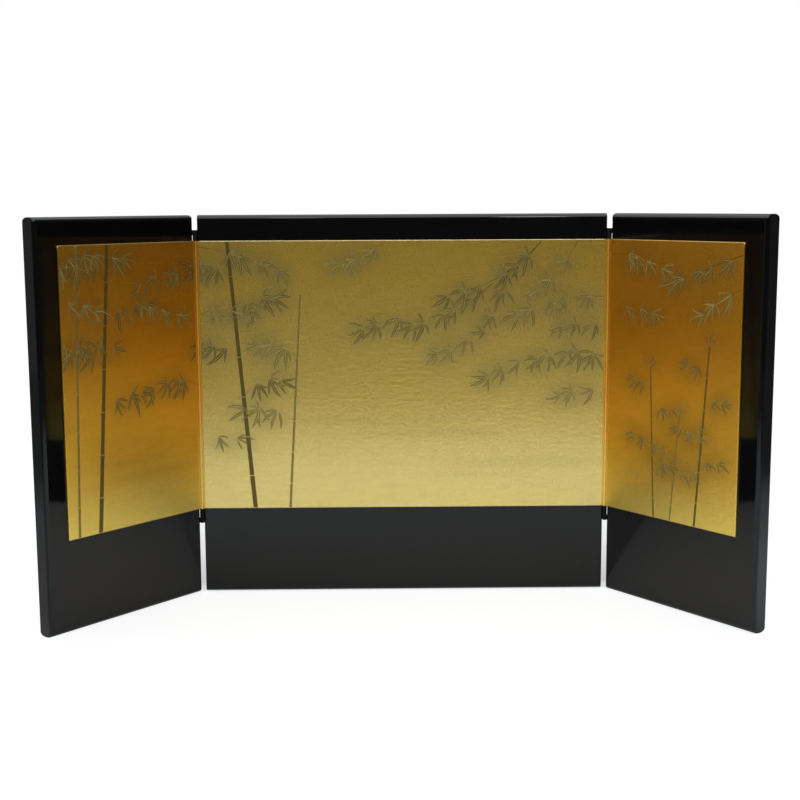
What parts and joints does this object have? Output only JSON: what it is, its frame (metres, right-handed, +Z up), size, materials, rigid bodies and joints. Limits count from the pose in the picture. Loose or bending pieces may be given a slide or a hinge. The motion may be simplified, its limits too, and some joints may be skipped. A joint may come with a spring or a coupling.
{
  "type": "folding screen",
  "caption": "Low tabletop folding screen of black lacquered boards with raised gilt picture boards, joined by cloth hinges.",
  "frame": {"origin": "under the middle of the center panel, at half its thickness, on the surface it stands on", "axes": "+X to the viewer's right along the center panel, +Y from its front to its back, +Z up"},
  "size_m": [0.7406, 0.1879, 0.4245],
  "materials": {
    "black_lacquer": "black lacquer, polished",
    "bare_wood": "sawn, bare",
    "dowel_wood": "turned, bare",
    "picture_board": "dense board",
    "gold_paper": "gilt, fine grained, satin",
    "hinge_cloth": "black woven tape, matte"
  },
  "bodies": {
    "center_panel": {"center_bottom_rail": "black_lacquer", "center_top_rail": "black_lacquer", "center_left_stile": "black_lacquer", "center_right_stile": "black_lacquer", "center_ribs": "bare_wood", "center_dowels": "dowel_wood", "center_front_skin": "black_lacquer", "center_back_skin": "black_lacquer", "center_picture_board": "picture_board", "center_gold_paper": "gold_paper", "left_hinge_center_cloth": "hinge_cloth", "left_hinge_center_gilt": "gold_paper", "right_hinge_center_cloth": "hinge_cloth", "right_hinge_center_gilt": "gold_paper"},
    "left_panel": {"left_bottom_rail": "black_lacquer", "left_top_rail": "black_lacquer", "left_outer_stile": "black_lacquer", "left_hinge_stile": "black_lacquer", "left_ribs": "bare_wood", "left_dowels": "dowel_wood", "left_front_skin": "black_lacquer", "left_back_skin": "black_lacquer", "left_picture_board": "picture_board", "left_gold_paper": "gold_paper", "left_hinge_side_cloth": "hinge_cloth", "left_hinge_side_gilt": "gold_paper"},
    "right_panel": {"right_bottom_rail": "black_lacquer", "right_top_rail": "black_lacquer", "right_hinge_stile": "black_lacquer", "right_outer_stile": "black_lacquer", "right_ribs": "bare_wood", "right_dowels": "dowel_wood", "right_front_skin": "black_lacquer", "right_back_skin": "black_lacquer", "right_picture_board": "picture_board", "right_gold_paper": "gold_paper", "right_hinge_side_cloth": "hinge_cloth", "right_hinge_side_gilt": "gold_paper"}
  },
  "joints": [
    {"name": "left_fold", "type": "hinge", "parent": "center_panel", "child": "left_panel", "pos_m": [-0.2265, -0.0115, 0], "axis": [0, 0, 1], "range_deg": [-56.1, 128.9]},
    {"name": "right_fold", "type": "hinge", "parent": "center_panel", "child": "right_panel", "pos_m": [0.2265, -0.0115, 0], "axis": [0, 0, -1], "range_deg": [-58.7, 126.3]}
  ]
}
